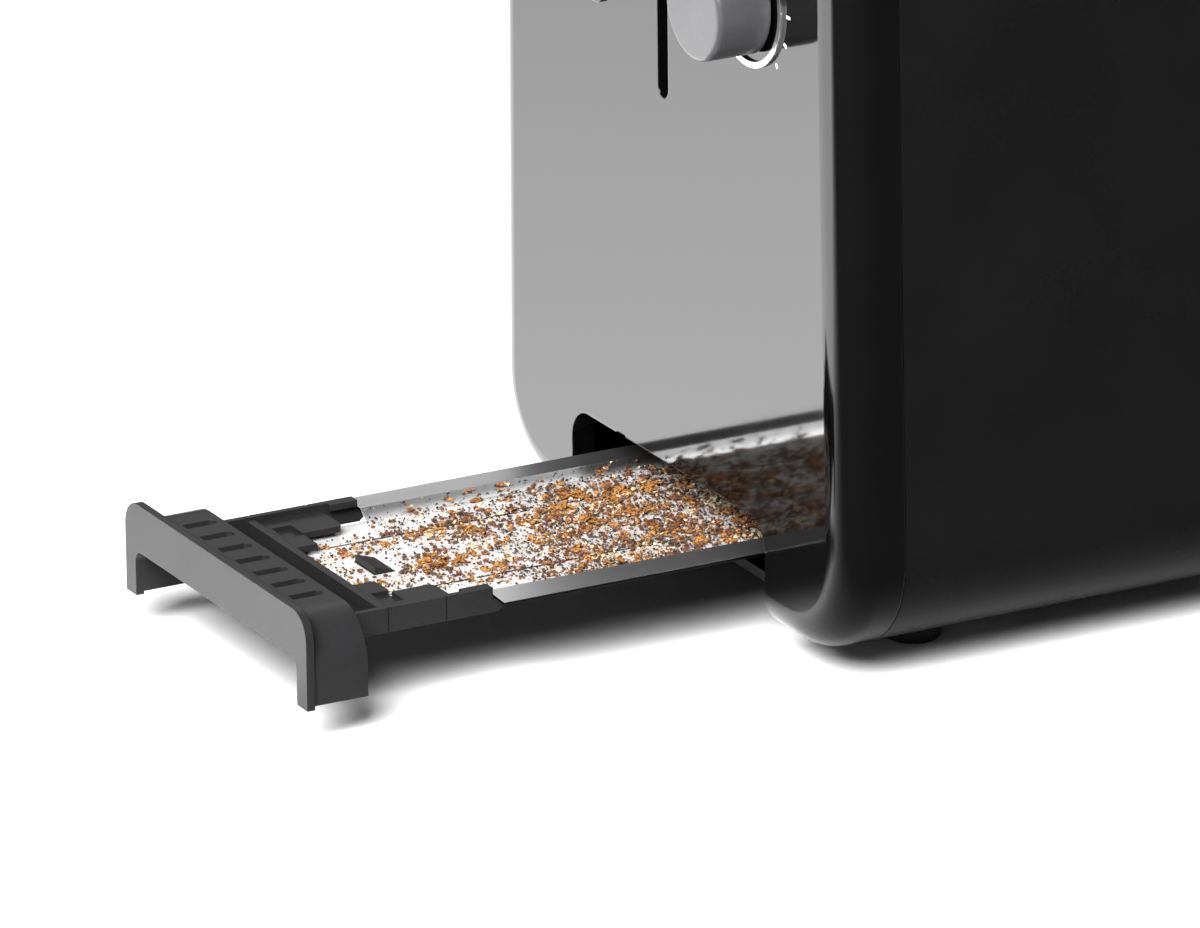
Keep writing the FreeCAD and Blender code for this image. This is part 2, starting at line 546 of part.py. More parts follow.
def controls():
    board = block("board_sheet", ("pcb_x", "pcb_x + pcb_thick"), ("-60", "60"), ("100", "180"))
    notch = block("board_notch", ("pcb_x - 1", "pcb_x + pcb_thick + 1"), ("-7", "7"), ("116", "181"))
    keep(less("board_cut", board, [notch]), "control_board")

    can = rod("pot_can", "x", ("pcb_x - 8", "knob_y", "knob_z"), "8", "8")
    neck_bore = rod("pot_bore", "x", ("pcb_x - 9", "knob_y", "knob_z"), "shaft_radius + 0.05", "6")
    keep(less("pot_cut", can, [neck_bore]), "potentiometer_body")
    keep(rod("pot_shaft", "x", ("-body_end - 12", "knob_y", "knob_z"), "shaft_radius",
             "body_end + 12 + pcb_x - 4"), "potentiometer_shaft")

    drum = rod("knob_drum", "x", ("-body_end - 15", "knob_y", "knob_z"), "knob_radius", "13.6")
    soft = rounded("knob_soft", drum, 1.5, lambda edge: edge.BoundBox.XMax < -SIZES["body_end"] - 14)
    seat = rod("knob_seat", "x", ("-body_end - 12", "knob_y", "knob_z"), "shaft_radius", "14")
    mark_way = block("mark_way", ("-body_end - 16", "-body_end - 14.2"),
                     ("knob_y - 0.7", "knob_y + 0.7"), ("knob_z + 4", "knob_z + knob_radius - 2"))
    keep(less("knob_cut", soft, [seat, mark_way]), "browning_knob")
    keep(block("mark", ("-body_end - 15", "-body_end - 14.2"), ("knob_y - 0.7", "knob_y + 0.7"),
               ("knob_z + 4", "knob_z + knob_radius - 2")), "knob_pointer")
    ring = rod("ring_disc", "x", ("-body_end - 0.8", "knob_y", "knob_z"), "knob_radius + 3.5", "0.8")
    ring_hole = rod("ring_hole", "x", ("-body_end - 2", "knob_y", "knob_z"), "knob_radius + 2", "4")
    keep(less("ring_cut", ring, [ring_hole]), "dial_ring")

    panel_y = ("panel_y - panel_half_y", "panel_y + panel_half_y")
    panel_z = ("knob_z - panel_half_z", "knob_z + panel_half_z")
    flange = rounded("panel_flange", block("panel_flange_block", ("-body_end - 1", FRONT),
                                           panel_y, panel_z), 3, runs_along("x"))
    plug = block("panel_plug", (FRONT, "-body_end + skin + 1"),
                 ("panel_y - panel_half_y + 1.8", "panel_y + panel_half_y - 1.8"),
                 ("knob_z - panel_half_z + 1.8", "knob_z + panel_half_z - 1.8"))
    windows = []
    switches = []
    for step, action in ((-1, "cancel"), (0, "reheat"), (1, "defrost")):
        middle = "knob_z + button_pitch * %d" % step
        windows.append(block("window_" + action, ("-body_end - 2", "-body_end + skin + 2"),
                             ("panel_y - button_half_y - button_gap",
                              "panel_y + button_half_y + button_gap"),
                             ("%s - button_half_z - button_gap" % middle,
                              "%s + button_half_z + button_gap" % middle)))
        cap_block = block("button_block_" + action, ("-body_end - 3.5", "-body_end + 4"),
                          ("panel_y - button_half_y", "panel_y + button_half_y"),
                          ("%s - button_half_z" % middle, "%s + button_half_z" % middle))
        cap = rounded("button_cap_" + action, cap_block, 1.2,
                      lambda edge: edge.BoundBox.XMax < -SIZES["body_end"] - 3.4)
        stem = rod("button_stem_" + action, "x", ("-body_end + 4", "panel_y", middle), "2", "5.7")
        keep(join("button_fuse_" + action, [cap, stem]), "button_" + action)
        case = block("switch_case_" + action, ("pcb_x - 3.5", "pcb_x"),
                     ("panel_y - 3", "panel_y + 3"), ("%s - 3" % middle, "%s + 3" % middle))
        nib = rod("switch_nib_" + action, "x", ("pcb_x - 5.9", "panel_y", middle), "1.6", "2.4")
        switches.append(join("switch_" + action, [case, nib]))
    keep(less("panel_cut", join("panel_whole", [flange, plug]), windows), "button_bezel")
    keep(group("switch_group", switches), "button_switches")


def mains_end():
    collar = rod("gland_collar", "x", ("body_end", "gland_y", "gland_z"), "8", "2")
    neck = rod("gland_neck", "x", ("body_end - 6", "gland_y", "gland_z"), "gland_radius", "6")
    bore = rod("gland_bore", "x", ("body_end - 7", "gland_y", "gland_z"), "gland_bore", "10")
    keep(less("gland_cut", join("gland_whole", [collar, neck]), [bore]), "cord_gland")
    body = block("terminal_body", ("100", "118"), ("20", "50"), ("body_low + skin", "22"))
    pits = [rod("terminal_pit_%d" % step, "z", ("109", "26 + 9 * %d" % step, "16"), "2.2", "8")
            for step in range(3)]
    keep(less("terminal_cut", body, pits), "terminal_block")


def out(distance):
    """An X expression: so far behind the front of the grip."""
    return "%s + %s" % (OUT, distance)


def tray_front():
    """The moulded grip: a front plate, the vented block behind it, a trough and a cross bar."""
    along_x = runs_along("x")
    plate_block = block("grip_plate_block", (OUT, out("grip_thick")), ("-grip_half", "grip_half"),
                        ("grip_low", "grip_high"))
    plate = rounded("grip_plate", plate_block, SIZES["grip_round"],
                    lambda edge: along_x(edge) and edge.CenterOfMass.z > SIZES["arch_high"])
    vented_block = block("grip_block", (out("grip_thick"), out("block_back")),
                         ("-block_half", "block_half"), ("block_low", "block_high"))
    vented = rounded("grip_block_round", vented_block, SIZES["block_round"],
                     lambda edge: along_x(edge) and edge.CenterOfMass.z > SIZES["arch_high"])
    arch_block = block("arch_block", (out("-1"), out("block_back + 1")),
                       ("-arch_half", "arch_half"), ("0", "arch_high"))
    arch = rounded("arch", arch_block, SIZES["arch_round"],
                   lambda edge: along_x(edge) and edge.CenterOfMass.z > 1)
    hollow = block("grip_hollow", (out("grip_thick + block_skin"), out("block_back - block_skin")),
                   ("-hollow_half", "hollow_half"), ("arch_high - 1", "block_high - block_skin"))
    vents = []
    for step in range(VENT_COUNT):
        middle = "vent_first - vent_pitch * %d" % step
        round_at = out("vent_start + vent_long - vent_wide / 2")
        vents.append(block("vent_%d" % step, (out("vent_start"), round_at),
                           ("%s - vent_wide / 2" % middle, "%s + vent_wide / 2" % middle),
                           ("block_high - block_skin - 1", "block_high + 1")))
        vents.append(rod("vent_end_%d" % step, "z",
                         (round_at, middle, "block_high - block_skin - 1"), "vent_wide / 2",
                         "block_skin + 2"))
    shell = less("grip_cut", join("grip_whole", [plate, vented]), [arch, hollow] + vents)
    between = ("-cheek_half + cheek_thick", "cheek_half - cheek_thick")
    trough = block("trough", (out("block_back"), out("bar_back")), between,
                   ("trough_low", "trough_low + trough_thick"))
    bar = block("cross_bar", (out("bar_back - bar_thick"), out("bar_back")), between,
                ("trough_low", "bar_high"))
    keep(join("tray_front_fuse", [shell, trough, bar]), "tray_front")


def tray_tongue():
    """The snap tongue: it runs on under the pan and hooks up through its floor."""
    across = ("hook_shift - hook_half", "hook_shift + hook_half")
    top = "pan_floor - sheet - 0.1"
    strip = block("tongue", (out("bar_back"), out("hook_back + hook_long")), across,
                  ("%s - tongue_thick" % top, top))
    ramp = prism("ramp", "XZ_Plane",
                 [(out("hook_back"), "%s - tongue_thick / 2" % top),
                  (out("hook_back + hook_long"), "%s - tongue_thick / 2" % top),
                  (out("hook_back + hook_long"), "pan_floor + hook_toe"),
                  (out("hook_back"), "pan_floor + hook_rise")],
                 "-(hook_shift + hook_half)", "2 * hook_half")
    keep(join("tongue_fuse", [strip, ramp]), "tray_tongue")


def tray_clips():
    """Side cheeks with the slotted plates that hold the pan's front corners."""
    inner = "cheek_half - cheek_thick + plate_lap"
    for side, sign in (("near", "-"), ("far", "")):
        def across(first, second):
            """Y range from two distances off the middle plane."""
            low, high = (second, first) if sign else (first, second)
            return ("%s(%s)" % (sign, low), "%s(%s)" % (sign, high))
        outer = "-(cheek_half)" if side == "far" else "cheek_half - cheek_thick"
        cheek = prism("cheek_" + side, "XZ_Plane",
                      [(out("block_back"), "cheek_low"),
                       (out("cheek_end - 2.5"), "cheek_low"),
                       (out("cheek_end"), "cheek_low + cheek_toe"), (out("cheek_end"), "cheek_step"),
                       (out("cheek_top_end"), "cheek_step"), (out("cheek_top_end"), "cheek_high"),
                       (out("block_back"), "cheek_high")], outer, "cheek_thick")
        outline = [("bar_back", "plate_inner"), ("plate_step", "plate_inner"),
                   ("plate_step", "plate_middle"), ("plate_end", "plate_middle"),
                   ("plate_end", inner), ("bar_back", inner)]
        plate = prism("clip_plate_" + side, "XY_Plane",
                      [(out(along), "%s(%s)" % (sign, off)) for along, off in outline],
                      "plate_high - plate_thick", "plate_thick")
        corner_x = -SIZES["body_end"] - SIZES["tray_travel"] + SIZES["plate_end"]
        round_edges(plate, "clip_corner_" + side, "plate_round",
                    lambda edge: edge.BoundBox.DiagonalLength < SIZES["plate_thick"] + 0.01
                    and abs(edge.CenterOfMass.x - corner_x) < 0.01
                    and abs(abs(edge.CenterOfMass.y) - SIZES["plate_middle"]) < 0.01)
        ledge = block("clip_ledge_" + side, (out("ledge_start"), out("cheek_top_end")),
                      across("flange_in + 0.4", inner), ("flange_high + ledge_gap", "cheek_high"))
        window = block("clip_window_" + side, (out("window_front"), out("window_back")),
                       across("window_low", "window_high"), ("plate_high - window_deep", "plate_high + 1"))
        splits = [block("cheek_split_%s_%d" % (side, step),
                        (out("split_first + split_pitch * %d - split_wide / 2" % step),
                         out("split_first + split_pitch * %d + split_wide / 2" % step)),
                        across("cheek_half - split_deep", "cheek_half + 1"),
                        ("cheek_low - 1", "cheek_high + 1")) for step in range(SPLIT_COUNT)]
        keep(less("clip_cut_" + side, join("clip_" + side, [cheek, plate, ledge]),
                  [window] + splits), "tray_clip_" + side)


def crumb_tray():
    """Sheet metal pan: floor, sloping sides, level flanges and a turned down lip."""
    lip_low = "flange_high - flange_drop - lip_drop"
    top = [("pan_half", lip_low), ("pan_half", "flange_high - flange_drop"),
           ("flange_in", "flange_high"), ("floor_edge", "pan_floor")]
    under = [("floor_edge - sheet / 2", "pan_floor - sheet"),
             ("flange_in - sheet / 2", "flange_high - sheet"),
             ("pan_half - sheet", "flange_high - flange_drop - sheet"),
             ("pan_half - sheet", lip_low)]
    corners = top + [("-(%s)" % across, up) for across, up in reversed(top)]
    corners += [("-(%s)" % across, up) for across, up in reversed(under)] + under
    front = out("pan_front")
    rear = out("pan_front + pan_long")
    pan = prism("pan", "YZ_Plane", corners, front, "pan_long")
    back_wall = block("pan_back", ("%s - sheet" % rear, rear), ("-flange_in - 1", "flange_in + 1"),
                      ("pan_floor - sheet", "flange_high + back_rise"))
    # corners cut away where the moulded clips grip
    tools = []
    for side, ends in (("near", ("-pan_half - 1", "-floor_edge + 0.5")),
                       ("far", ("floor_edge - 0.5", "pan_half + 1"))):
        tools.append(block("pan_corner_" + side, ("%s - 1" % front, out("flange_start")),
                           ends, ("0", "mouth_high")))
    for side, middle in (("near", "-groove_y"), ("far", "groove_y")):
        tools.append(block("groove_" + side, ("%s + groove_start" % front,
                                              "%s - groove_stop" % rear),
                           ("%s - groove_wide / 2" % middle, "%s + groove_wide / 2" % middle),
                           ("pan_floor - groove_deep", "pan_floor + 1")))
    tools.append(block("hook_hole", (out("hook_back - slide_gap"),
                                     out("hook_back + hook_long + slide_gap")),
                       ("hook_shift - hook_half - slide_gap", "hook_shift + hook_half + slide_gap"),
                       ("0", "mouth_high")))
    keep(less("pan_cut", join("pan_whole", [pan, back_wall]), tools), "crumb_tray")


front_end_cap()
rear_end_cap()
housing_sleeve()
slot_frame()
base_plate()
feet()
inner_walls()
tray_rails()
heaters()
bread_guides()
carriage()
return_spring()
controls()
mains_end()
tray_front()
tray_tongue()
tray_clips()
crumb_tray()
doc.recompute()

for thing in doc.Objects:
    if "Invalid" in thing.State or "Error" in thing.State:
        raise RuntimeError("failed object %s: %s" % (thing.Name, thing.State))
os.makedirs("parts", exist_ok=True)
for thing in nodes:
    shape = thing.Shape
    if shape.isNull() or not shape.isValid() or not shape.Solids:
        raise RuntimeError("bad shape in " + thing.Label)
    shape.exportStep("parts/%s.step" % thing.Label)
    box = shape.BoundBox
    print("%-24s solids %2d volume %10.1f  x %7.1f %7.1f  y %6.1f %6.1f  z %6.1f %6.1f" % (
        thing.Label, len(shape.Solids), shape.Volume, box.XMin, box.XMax, box.YMin, box.YMax,
        box.ZMin, box.ZMax))
print(len(nodes), "nodes")
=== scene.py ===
import json
import math

import bmesh
import bpy
import numpy as np
from mathutils import Matrix, Vector


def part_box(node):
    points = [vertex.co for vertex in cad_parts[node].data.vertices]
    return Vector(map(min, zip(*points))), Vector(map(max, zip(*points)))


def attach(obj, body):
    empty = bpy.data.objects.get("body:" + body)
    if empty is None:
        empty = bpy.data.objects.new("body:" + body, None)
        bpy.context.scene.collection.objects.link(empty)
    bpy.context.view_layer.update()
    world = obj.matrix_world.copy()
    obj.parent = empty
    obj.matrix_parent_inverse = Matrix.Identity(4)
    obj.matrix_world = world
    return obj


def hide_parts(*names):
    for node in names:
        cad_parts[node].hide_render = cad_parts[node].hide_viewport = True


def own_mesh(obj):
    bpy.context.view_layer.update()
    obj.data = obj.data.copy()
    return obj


# Looks for the pop up toaster: camera, studio, materials, toast crumbs and dial marks.
# Everything is in metres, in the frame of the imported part: the tray comes out towards -X.

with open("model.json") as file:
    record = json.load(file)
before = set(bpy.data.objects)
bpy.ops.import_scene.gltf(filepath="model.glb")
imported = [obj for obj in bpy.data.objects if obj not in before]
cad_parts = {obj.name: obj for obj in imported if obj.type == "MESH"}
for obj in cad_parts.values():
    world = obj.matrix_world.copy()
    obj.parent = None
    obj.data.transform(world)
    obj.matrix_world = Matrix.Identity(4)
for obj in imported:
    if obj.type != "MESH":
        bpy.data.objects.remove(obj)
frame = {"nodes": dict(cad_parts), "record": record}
scene = bpy.context.scene


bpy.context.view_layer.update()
SEED = 41
MM = 0.001


# ---------------------------------------------------------------- camera and studio

AIM = Vector((-0.1539, 0.0168, 0.0301))
BACK = Vector((-0.43959, -0.83348, 0.33478)).normalized()
UP = Vector((0.16662, 0.29059, 0.94223))
CAMERA_DISTANCE = 2.9214
LENS = 372.0


def make_camera():
    data = bpy.data.cameras.new("camera")
    camera = bpy.data.objects.new("camera", data)
    scene.collection.objects.link(camera)
    right = UP.cross(BACK).normalized()
    up = BACK.cross(right).normalized()
    turn = Matrix((right, up, BACK)).transposed().to_4x4()
    camera.matrix_world = Matrix.Translation(AIM + BACK * CAMERA_DISTANCE) @ turn
    data.sensor_width = 36
    data.lens = LENS
    data.clip_start = 0.05
    data.clip_end = 60
    scene.camera = camera


def area_light(name, place, target, size, power):
    data = bpy.data.lights.new(name, "AREA")
    data.shape = "RECTANGLE"
    data.size, data.size_y = size
    data.energy = power
    lamp = bpy.data.objects.new(name, data)
    scene.collection.objects.link(lamp)
    lamp.location = place
    lamp.rotation_mode = "QUATERNION"
    lamp.rotation_quaternion = (Vector(target) - Vector(place)).to_track_quat("-Z", "Y")


class Nodes:
    """Short calls for building one node tree."""

    def __init__(self, tree, fresh=True):
        self.tree = tree
        if fresh:
            tree.nodes.clear()

    def add(self, kind, **props):
        node = self.tree.nodes.new("ShaderNode" + kind)
        for name, value in props.items():
            setattr(node, name, value)
        return node

    def link(self, source, target):
        self.tree.links.new(source, target)

    def feed(self, socket, value):
        """Sets a socket to a number or colour, or links it."""
        if isinstance(value, bpy.types.NodeSocket):
            self.link(value, socket)
        else:
            socket.default_value = value

    def math(self, kind, first, second=0.0):
        node = self.add("Math", operation=kind)
        self.feed(node.inputs[0], first)
        self.feed(node.inputs[1], second)
        return node.outputs[0]

    def ramp(self, value, low, high, out_low=0.0, out_high=1.0):
        node = self.add("MapRange", interpolation_type="SMOOTHSTEP")
        for socket, given in zip(node.inputs, (value, low, high, out_low, out_high)):
            self.feed(socket, given)
        return node.outputs[0]

    def mix(self, amount, first, second):
        node = self.add("Mix", data_type="RGBA")
        self.feed(node.inputs[0], amount)
        self.feed(node.inputs[6], first)
        self.feed(node.inputs[7], second)
        return node.outputs[2]

    def place(self, scale=(1, 1, 1)):
        """Position in the part's own frame, stretched by scale."""
        coords = self.add("TexCoord")
        mapping = self.add("Mapping")
        mapping.inputs["Scale"].default_value = scale
        self.link(coords.outputs["Object"], mapping.inputs["Vector"])
        return mapping.outputs["Vector"]

    def noise(self, scale, detail=3.0, stretch=(1, 1, 1), roughness=0.5):
        node = self.add("TexNoise")
        self.link(self.place(stretch), node.inputs["Vector"])
        node.inputs["Scale"].default_value = scale
        node.inputs["Detail"].default_value = detail
        node.inputs["Roughness"].default_value = roughness
        return node.outputs["Fac"]


def grey(value):
    return (value, value, value, 1)


FLOOR_RADIUS = 14
FLOOR_ALBEDO = 0.82
FLOOR_BRIGHT = 1.95
FLOOR_DIM = 0.05
BRIGHT_FROM = 0.0
DIM_FROM = -0.13
FADE_POWER = 2.5
GLOW_REACH = (0.35, 1.4)
SKY_SEEN = 1.0
SKY_AMBIENT = 0.10
SKY_LOW = 0.12
SKY_HIGH = 1.45


def make_studio():
    """A white table with one soft lamp in front and to the left.  The lighting is a stand-in
    and not physical: the first glossy bounce sees the table brighter than white behind the
    object and nearly black in front of it, the sky has a bright patch for glossy rays only,
    and the far table glows a little for the camera so that it meets the white backdrop."""
    bpy.ops.mesh.primitive_circle_add(vertices=96, radius=FLOOR_RADIUS, fill_type="NGON")
    floor = bpy.context.object
    floor.name = "studio_floor"
    paint = bpy.data.materials.new("studio_floor")
    paint.use_nodes = True
    tree = Nodes(paint.node_tree)
    spread = tree.add("SeparateXYZ")
    tree.link(tree.place(), spread.inputs[0])
    behind = tree.add("MapRange")
    for socket, given in zip(behind.inputs, (spread.outputs["Y"], DIM_FROM, BRIGHT_FROM, 0, 1)):
        tree.feed(socket, given)
    fade = tree.math("POWER", behind.outputs[0], FADE_POWER)
    seen_in_gloss = tree.mix(fade, grey(FLOOR_DIM), grey(FLOOR_BRIGHT))
    path = tree.add("LightPath")
    fleck = tree.ramp(tree.noise(60, 2), 0.3, 0.7, 0.995, 1.0)
    plain = tree.mix(fleck, grey(FLOOR_ALBEDO * 0.99), grey(FLOOR_ALBEDO))
    first = tree.math("LESS_THAN", path.outputs["Ray Depth"], 1.5)
    mirrored = tree.math("MULTIPLY", path.outputs["Is Glossy Ray"], first)
    shown = tree.mix(mirrored, plain, seen_in_gloss)
    diffuse = tree.add("BsdfDiffuse")
    tree.link(shown, diffuse.inputs["Color"])
    away = tree.add("VectorMath", operation="LENGTH")
    tree.link(tree.place(), away.inputs[0])
    far = tree.ramp(away.outputs["Value"], *GLOW_REACH)
    glow = tree.add("Emission")
    tree.link(tree.math("MULTIPLY", far, path.outputs["Is Camera Ray"]), glow.inputs["Strength"])
    both = tree.add("AddShader")
    tree.link(diffuse.outputs[0], both.inputs[0])
    tree.link(glow.outputs[0], both.inputs[1])
    tree.link(both.outputs[0], tree.add("OutputMaterial").inputs["Surface"])
    floor.data.materials.append(paint)

    world = bpy.data.worlds.new("studio")
    scene.world = world
    world.use_nodes = True
    sky = Nodes(world.node_tree)
    path = sky.add("LightPath")
    seen = sky.math("MULTIPLY", path.outputs["Is Camera Ray"], SKY_SEEN - SKY_AMBIENT)
    spread = sky.add("SeparateXYZ")
    sky.link(sky.place(), spread.inputs[0])
    high = sky.ramp(spread.outputs["Z"], 0.28, 0.5,
                    SKY_LOW - SKY_AMBIENT, SKY_HIGH - SKY_AMBIENT)
    right = sky.ramp(spread.outputs["X"], -0.5, 0.1)
    behind = sky.ramp(spread.outputs["Y"], -0.1, 0.4)
    patch = sky.math("MULTIPLY", sky.math("MULTIPLY", high, right), behind)
    gloss = sky.math("MULTIPLY", path.outputs["Is Glossy Ray"], patch)
    strength = sky.math("ADD", sky.math("ADD", seen, gloss), SKY_AMBIENT)
    light = sky.add("Background")
    light.inputs["Color"].default_value = (1, 1, 1, 1)
    sky.link(strength, light.inputs["Strength"])
    sky.link(light.outputs[0], sky.add("OutputWorld").inputs["Surface"])

    area_light("softbox", (-1.1, -0.8, 1.1), (-0.2, 0.0, 0), (1.0, 0.8), 92)
    scene.view_settings.view_transform = "Standard"
    scene.view_settings.look = "None"
    scene.view_settings.exposure = 0
    scene.view_settings.gamma = 1


# ---------------------------------------------------------------- materials

CLOUD_SHARE = 0.65
SPECK_SHARE = 0.35


def surface(name, base, rough, metallic=0.0, spread=0.15, grain=900, grain_height=0.02,
            rough_spread=0.05, stretch=(1, 1, 1), bevel=0.3, tint_two=None, **fixed):
    """One procedural material: two tones of the base colour, uneven gloss, fine grain in the
    surface, faint handling marks, and softened edges.  fixed sets plain shader sockets."""
    paint = bpy.data.materials.new(name)
    paint.use_nodes = True
    tree = Nodes(paint.node_tree)
    shader = tree.add("BsdfPrincipled")
    low = tuple(channel * (1 - spread) for channel in base)
    high = tint_two or tuple(channel * (1 + spread) for channel in base)
    cloud = tree.ramp(tree.noise(38, 4, stretch), 0.32, 0.68)
    speck = tree.ramp(tree.noise(grain * 0.7, 2, stretch), 0.35, 0.65)
    both = tree.math("ADD", tree.math("MULTIPLY", cloud, CLOUD_SHARE),
                     tree.math("MULTIPLY", speck, SPECK_SHARE))
    tree.link(tree.mix(both, (*low, 1), (*high, 1)), shader.inputs["Base Color"])
    shader.inputs["Metallic"].default_value = metallic
    marks = tree.ramp(tree.noise(14, 5, stretch, 0.6), 0.35, 0.7, -rough_spread, rough_spread)
    tree.link(tree.math("ADD", marks, rough), shader.inputs["Roughness"])
    edge = tree.add("Bevel", samples=4)
    edge.inputs["Radius"].default_value = bevel * MM
    bump = tree.add("Bump")
    bump.inputs["Strength"].default_value = 0.35
    bump.inputs["Distance"].default_value = grain_height * MM
    tree.link(tree.noise(grain, 2, stretch), bump.inputs["Height"])
    tree.link(edge.outputs[0], bump.inputs["Normal"])
    tree.link(bump.outputs[0], shader.inputs["Normal"])
    for socket, value in fixed.items():
        shader.inputs[socket.replace("_", " ")].default_value = value
    tree.link(shader.outputs[0], tree.add("OutputMaterial").inputs["Surface"])
    return paint


DUSTED_METALLIC = 0.35
GROOVE_AT = 0.0175

LOOKS = {
    "case_gloss": dict(base=(0.0015, 0.0015, 0.0016), rough=0.07, rough_spread=0.02, grain=700,
                       grain_height=0.002, bevel=0.5, IOR=1.46),
    "case_satin": dict(base=(0.0038, 0.0038, 0.0040), rough=0.30, rough_spread=0.04, grain=1400,
                       grain_height=0.012, bevel=0.3, Specular_IOR_Level=0.32),
    "trim_steel": dict(base=(0.62, 0.61, 0.60), rough=0.27, metallic=1.0, grain=500,
                       stretch=(0.05, 1, 1), grain_height=0.02, Anisotropic=0.5),
    "base_plastic": dict(base=(0.02, 0.02, 0.02), rough=0.55, grain=1100, grain_height=0.05),
    "screw_steel": dict(base=(0.5, 0.49, 0.47), rough=0.35, metallic=1.0, grain=900),
    "foot_rubber": dict(base=(0.013, 0.013, 0.013), rough=0.75, grain=1600, grain_height=0.05,
                        Specular_IOR_Level=0.3),
    "inner_steel": dict(base=(0.52, 0.52, 0.50), rough=0.38, metallic=1.0, grain=300,
                        tint_two=(0.62, 0.61, 0.57), grain_height=0.02),
    "mica": dict(base=(0.42, 0.33, 0.22), rough=0.45, grain=220, grain_height=0.06,
                 spread=0.3, tint_two=(0.62, 0.54, 0.40)),
    "resistance_wire": dict(base=(0.24, 0.21, 0.19), rough=0.5, metallic=1.0, grain=900,
                            tint_two=(0.34, 0.24, 0.17)),
    "tray_steel": dict(base=(0.84, 0.84, 0.84), rough=0.34, metallic=1.0, grain=420,
                       stretch=(0.12, 1, 1), grain_height=0.003, spread=0.03,
                       rough_spread=0.05, bevel=0.2),
    "wire_steel": dict(base=(0.66, 0.65, 0.63), rough=0.25, metallic=1.0, grain=900,
                       tint_two=(0.60, 0.53, 0.42), bevel=0.1),
    "rod_steel": dict(base=(0.70, 0.70, 0.70), rough=0.16, metallic=1.0, grain=900,
                      stretch=(1, 1, 0.1)),
    "lever_plastic": dict(base=(0.014, 0.014, 0.015), rough=0.20, grain=900,
                          grain_height=0.004, bevel=0.5),
    "core_iron": dict(base=(0.30, 0.29, 0.28), rough=0.45, metallic=1.0, grain=700),
    "coil_copper": dict(base=(0.62, 0.26, 0.11), rough=0.32, metallic=1.0, grain=260,
                        stretch=(1, 1, 6), grain_height=0.08),
    "spring_steel": dict(base=(0.55, 0.54, 0.52), rough=0.28, metallic=1.0, grain=900,
                         bevel=0.1),
    "pcb": dict(base=(0.30, 0.21, 0.09), rough=0.42, grain=600, spread=0.2,
                tint_two=(0.38, 0.27, 0.12)),
    "switch_plastic": dict(base=(0.035, 0.035, 0.037), rough=0.45, grain=1000),
    "control_plastic": dict(base=(0.045, 0.045, 0.048), rough=0.32, grain=1000,
                            grain_height=0.006, bevel=0.4),
    "pointer_white": dict(base=(0.78, 0.78, 0.76), rough=0.4, grain=900, spread=0.06),
    "tray_plastic": dict(base=(0.0140, 0.0140, 0.0147), rough=0.33, rough_spread=0.04, grain=1500,
                         grain_height=0.012, bevel=0.3, Specular_IOR_Level=0.12),
}


def dust_and_shade_tray(paint):
    """Adds to the pan's steel a film of fine crumb dust on the floor, and painted shade: a darker
    sloped side, two dark lines along the grooves, and a dark underside and cut edges."""
    tree = Nodes(paint.node_tree, fresh=False)
    shader = next(node for node in tree.tree.nodes if node.type == "BSDF_PRINCIPLED")
    place = tree.add("SeparateXYZ")
    tree.link(tree.place(), place.inputs[0])
    across = tree.math("ABSOLUTE", place.outputs["Y"])
    inside = tree.ramp(across, 0.0275, 0.0315, 1.0, 0.0)
    facing = tree.add("SeparateXYZ")
    tree.link(tree.add("NewGeometry").outputs["Normal"], facing.inputs[0])
    upward = tree.ramp(facing.outputs["Z"], 0.1, 0.5)
    patches = tree.ramp(tree.noise(55, 4), 0.25, 0.75, 0.75, 1.0)
    film = tree.math("MULTIPLY", tree.math("MULTIPLY", inside, upward), patches)
    tree.link(tree.ramp(film, 0.0, 1.0, 1.0, DUSTED_METALLIC), shader.inputs["Metallic"])
    # Painted shade: faces that point down or sideways, the pan's underside and cut edges, get a
    # dark base colour that stands in for the shade under the tray.
    underside_edge_shade = tree.ramp(facing.outputs["Z"], 0.25, 0.5, 1.0, 0.0)
    bare = shader.inputs["Base Color"].links[0].from_socket
    dust_and_slope_shade = tree.mix(film, bare, (0.68, 0.665, 0.66, 1))
    # Painted shade: the sloped side's base colour is darkened towards grey-black. It is the same
    # steel, and the darkening stands in for the shade on it.
    slope_painted_shade = tree.math("MULTIPLY", tree.ramp(across, 0.0300, 0.0316, 0.0, 0.6),
                      tree.ramp(across, 0.0322, 0.0325, 1.0, 0.0))
    dust_and_slope_shade = tree.mix(slope_painted_shade, dust_and_slope_shade, (0.07, 0.07, 0.073, 1))
    # Painted shade: two thin dark lines along the grooves stand in for the shade inside them.
    groove_shade_line = tree.ramp(tree.math("ABSOLUTE", tree.math("SUBTRACT", across, GROOVE_AT)),
                       0.00030, 0.00055, 0.95, 0.0)
    groove_shaded = tree.mix(groove_shade_line, dust_and_slope_shade, (0.05, 0.045, 0.04, 1))
    tree.link(tree.mix(underside_edge_shade, groove_shaded, (0.03, 0.03, 0.03, 1)), shader.inputs["Base Color"])


def dress_frame():
    """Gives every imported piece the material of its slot."""
    paints = {name: surface(name, **look) for name, look in LOOKS.items()}
    dust_and_shade_tray(paints["tray_steel"])
    for row in frame["record"]["subparts"]:
        mesh = frame["nodes"][row["node"]].data
        mesh.materials.clear()
        mesh.materials.append(paints[row["material_slot"]])
        for face in mesh.polygons:
            face.material_index = 0


# ---------------------------------------------------------------- toast crumbs

# All in millimetres.  The pan's section: flat floor, 45 degree sides, flanges.
PAN_FLOOR = 21.72
FLOOR_EDGE = 29.9
FLANGE_EDGE = 32.4
SLOPE = 1.0
# Where crumbs may lie, and how far they keep from the clips, the tongue and the pan's ends.
CRUMB_NEAR = -30.6
CRUMB_FAR = 32.0
CLIP_INNER = 14.0
CLIP_SHORT = 5.5
CLIP_MIDDLE = 22.0
CLIP_LONG = 23.0
TONGUE_HOOK = 6.5
TONGUE_CLEAR = 1.5
FRONT_CLEAR = 1.5
REAR_CLEAR = 6
